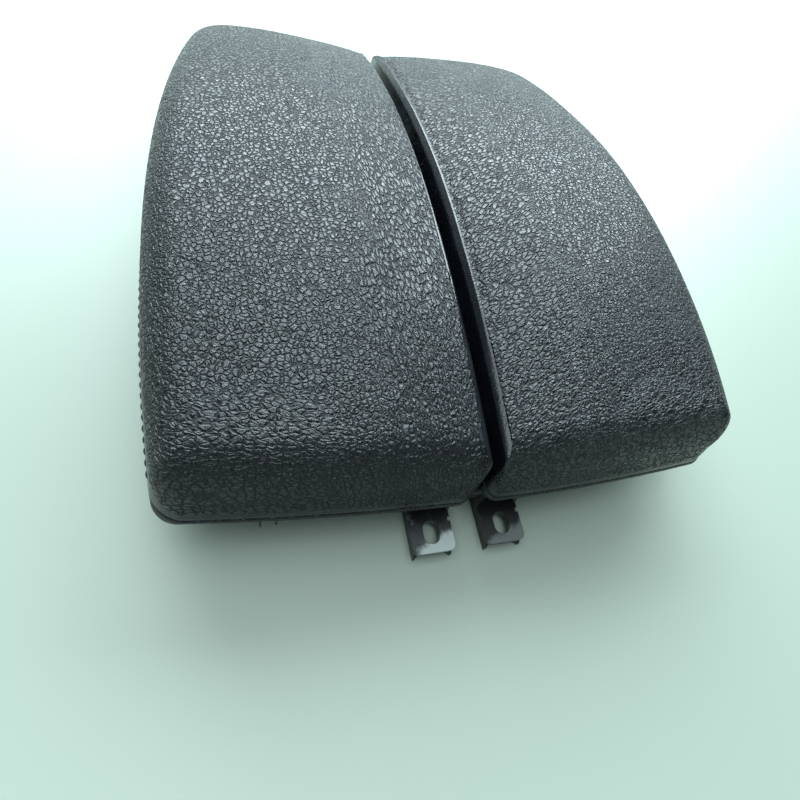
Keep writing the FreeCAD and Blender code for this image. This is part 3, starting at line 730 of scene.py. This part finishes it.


def coated_steel(name, tab=None, pale_tone=0.0):
    """Black electrocoat. `tab` is a strap's box: its free corner turns paler."""
    m = new_material(name)
    place = node(m, "ShaderNodeTexCoord").outputs["Object"]
    fine = node(m, "ShaderNodeTexNoise", {}, {"Vector": place, "Scale": 1500.0, "Detail": 3.0})
    patch = node(m, "ShaderNodeTexNoise", {},
                 {"Vector": place, "Scale": 170.0, "Detail": 7.0, "Roughness": 0.7})
    dust = node(m, "ShaderNodeMapRange", {"interpolation_type": "SMOOTHSTEP"},
                {"Value": patch.outputs["Fac"], "From Min": 0.56, "From Max": 0.72, "To Max": 0.25})
    amount = dust.outputs[0]
    if tab:
        (x0, y0, _), (x1, _, _) = tab
        half = (x1 - x0) / 2
        reach = PALE_CORNER_REACH * MM
        axes = node(m, "ShaderNodeSeparateXYZ", {}, {"Vector": place})
        across = node(m, "ShaderNodeMath", {"operation": "MULTIPLY_ADD"},
                      {0: axes.outputs["X"], 1: 0.55 / half, 2: -0.55 * (x0 + half) / half})
        outward = node(m, "ShaderNodeMath", {"operation": "MULTIPLY_ADD"},
                       {0: axes.outputs["Y"], 1: -1.0 / reach, 2: (y0 + reach) / reach})
        corner = node(m, "ShaderNodeMath", {"operation": "ADD"},
                      {0: across.outputs[0], 1: outward.outputs[0]})
        cloudy = node(m, "ShaderNodeMath", {"operation": "MULTIPLY_ADD"},
                      {0: patch.outputs["Fac"], 1: 1.6, 2: corner.outputs[0]})
        # The strap's free corner is mixed towards the pale colour in a ragged patch that reaches in from
        # its end.
        pale_corner = node(m, "ShaderNodeMapRange", {"interpolation_type": "SMOOTHSTEP"},
                     {"Value": cloudy.outputs[0], "From Min": 0.95, "From Max": 1.45, "To Max": pale_tone})
        amount = node(m, "ShaderNodeMath", {"operation": "MAXIMUM"},
                      {0: dust.outputs[0], 1: pale_corner.outputs[0]}).outputs[0]
    tone = node(m, "ShaderNodeMix", {"data_type": "RGBA"},
                {"Factor": amount, 6: linear("101214"), 7: linear("B9C2BF")})
    rough = node(m, "ShaderNodeMapRange", {}, {"Value": amount, "To Min": 0.34, "To Max": 0.85})
    shader = node(m, "ShaderNodeBsdfPrincipled", {},
                  {"Base Color": tone.outputs[2], "Roughness": rough.outputs[0], "IOR": 1.5})
    return finish(m, shader, fine.outputs["Fac"], strength=0.25, distance=0.05)


COATED = coated_steel("black_electrocoated_steel")
COATED_TABS = {
    "bracket_left": coated_steel("chalked_electrocoat_left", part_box("bracket_left"), 0.9),
    "bracket_right": coated_steel("chalked_electrocoat_right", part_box("bracket_right"), 0.22),
}


# %% Moulded, rubber and plated finishes
def moulded(name, low, high, roughness, grain, ior=1.5):
    """A moulded skin between two colours, with a fine even texture."""
    m = new_material(name)
    place = node(m, "ShaderNodeTexCoord")
    spark = node(m, "ShaderNodeTexNoise", {},
                 {"Vector": place.outputs["Object"], "Scale": grain, "Detail": 4.0, "Roughness": 0.7})
    tone = node(m, "ShaderNodeMix", {"data_type": "RGBA"},
                {"Factor": spark.outputs["Fac"], 6: linear(low), 7: linear(high)})
    shader = node(m, "ShaderNodeBsdfPrincipled", {},
                  {"Base Color": tone.outputs[2], "Roughness": roughness, "IOR": ior})
    return finish(m, shader, spark.outputs["Fac"], strength=0.4, distance=0.06)


def plated(name, low, high, roughness, grain):
    """Bare or plated steel, with clouds of duller and brighter metal."""
    m = new_material(name)
    place = node(m, "ShaderNodeTexCoord")
    cloud = node(m, "ShaderNodeTexNoise", {},
                 {"Vector": place.outputs["Object"], "Scale": grain, "Detail": 5.0})
    tone = node(m, "ShaderNodeMix", {"data_type": "RGBA"},
                {"Factor": cloud.outputs["Fac"], 6: linear(low), 7: linear(high)})
    rough = node(m, "ShaderNodeMapRange", {},
                 {"Value": cloud.outputs["Fac"], "To Min": roughness - 0.08, "To Max": roughness + 0.12})
    shader = node(m, "ShaderNodeBsdfPrincipled", {},
                  {"Base Color": tone.outputs[2], "Metallic": 1.0, "Roughness": rough.outputs[0]})
    return finish(m, shader, cloud.outputs["Fac"], strength=0.15, distance=0.03)


ABS = moulded("black_moulded_abs", "131415", "1E2022", 0.52, 1400.0)
ACETAL = moulded("natural_acetal", "CFCBBF", "E2DED2", 0.38, 500.0)
RUBBER = moulded("carbon_black_rubber", "0F1010", "1D1D1D", 0.78, 900.0, ior=1.52)
ZINC = plated("zinc_plated_steel", "8E949A", "B4B8BA", 0.34, 300.0)
SPRING = plated("oiled_spring_steel", "3C3B3A", "5A5856", 0.3, 260.0)

FINISHES = {
    "bracket": COATED, "rail": COATED, "hinge_arm": COATED,
    "hinge_bushes": ACETAL, "base_shell": ABS, "underside_cover": ABS,
    "latch_housing": ABS, "latch_lever": ABS, "bump_stops": RUBBER,
    "arm_screws": ZINC, "cover_screws": ZINC, "housing_screws": ZINC,
    "latch_pin": ZINC, "hinge_shaft": COATED, "shaft_spacer": COATED,
    "latch_spring": SPRING, "shaft_clips": SPRING, "friction_washers": SPRING,
    "trim_staple": SPRING,
}

painted = 0
for name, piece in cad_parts.items():
    stem = name.replace("_left", "").replace("_right", "")
    if stem not in FINISHES:
        continue
    for slot in piece.material_slots:
        slot.material = COATED_TABS.get(name, FINISHES[stem])
    painted += 1
print("hard nodes finished", painted)

# %% [markdown]
# ## Floor, light and camera
# The floor is a plain pale green-grey sheet, wide enough that no edge shows from
# the main view.

# %% Floor
def floor_material():
    m = new_material("pale_floor")
    place = node(m, "ShaderNodeTexCoord")
    cloud = node(m, "ShaderNodeTexNoise", {},
                 {"Vector": place.outputs["Object"], "Scale": 2.0, "Detail": 2.0})
    tone = node(m, "ShaderNodeMix", {"data_type": "RGBA"},
                {"Factor": cloud.outputs["Fac"], 6: linear("929C91"), 7: linear("98A297")})
    shader = node(m, "ShaderNodeBsdfPrincipled", {}, {"Base Color": tone.outputs[2], "Roughness": 0.45})
    return finish(m, shader)


def build_floor():
    mesh = bpy.data.meshes.new("floor")
    work = bmesh.new()
    bmesh.ops.create_grid(work, x_segments=8, y_segments=8, size=6.0)
    work.to_mesh(mesh)
    work.free()
    floor = bpy.data.objects.new("floor", mesh)
    bpy.context.scene.collection.objects.link(floor)
    floor.data.materials.append(floor_material())
    return floor


build_floor()


# %% [markdown]
# Black leather shows its shape by what it reflects. One wide soft light stands
# beyond the front end, so its reflection spreads over the crowned tops and fades
# towards the hinge end. A second one hangs above and a little to the left, and
# a dim blue-grey room fills the rest. The Standard view transform keeps the
# floor's pale colour as it is.

# %% Lights
LIGHT_AIM = (0.0, 0.0, 0.05)


def area_light(name, size, power, place, colour):
    """A soft rectangular light that faces the middle of the object."""
    data = bpy.data.lights.new(name, "AREA")
    data.shape = "RECTANGLE"
    data.size, data.size_y = size
    data.energy = power
    data.color = colour
    light = bpy.data.objects.new(name, data)
    bpy.context.scene.collection.objects.link(light)
    light.location = place
    light.visible_camera = False
    light.rotation_euler = (Vector(LIGHT_AIM) - Vector(place)).to_track_quat("-Z", "Y").to_euler()
    return light


area_light("window_light", (2.8, 1.2), 132.0, (0.35, 1.4, 1.08), (0.80, 0.96, 1.0))
area_light("ceiling_light", (2.0, 1.6), 34.0, (-0.3, 0.1, 1.7), (0.84, 0.97, 1.0))

world = bpy.data.worlds.new("soft_room")
bpy.context.scene.world = world
world.use_nodes = True
world.node_tree.nodes["Background"].inputs[0].default_value = linear("B4CBD6")
world.node_tree.nodes["Background"].inputs[1].default_value = 0.3
bpy.context.scene.view_settings.view_transform = "Standard"

# %% [markdown]
# The camera stands above and behind the hinge end, left of the slit, and looks
# forward and down with a little roll. Its right and up directions give the turn,
# and are squared up against each other so that the matrix stays a pure rotation.

# %% Camera
EYE_LEFT = 89.23              # all three in mm: left of the slit,
EYE_BACK = 50.23              # behind the hinge end,
EYE_UP = 183.64               # and above the lower edge there
LENS_MM = 23.17
RIGHT = Vector((0.9511, -0.1931, 0.2410))
UP = Vector((0.0536, 0.8717, 0.4872))
BACK = RIGHT.cross(UP).normalized()
RIGHT = UP.cross(BACK).normalized()
UP = BACK.cross(RIGHT).normalized()
eye = Vector((-EYE_LEFT * MM, (HINGE_END - EYE_BACK) * MM, (EDGE_HEIGHT + EYE_UP) * MM))
camera_data = bpy.data.cameras.new("camera")
camera_data.sensor_width = 36.0
camera_data.lens = LENS_MM
camera_data.clip_start = 0.01
camera = bpy.data.objects.new("camera", camera_data)
bpy.context.scene.collection.objects.link(camera)
turn = Matrix((RIGHT, UP, BACK)).transposed()
camera.matrix_world = Matrix.Translation(eye) @ turn.to_4x4()
bpy.context.scene.camera = camera
print("camera at", [round(v, 3) for v in eye])
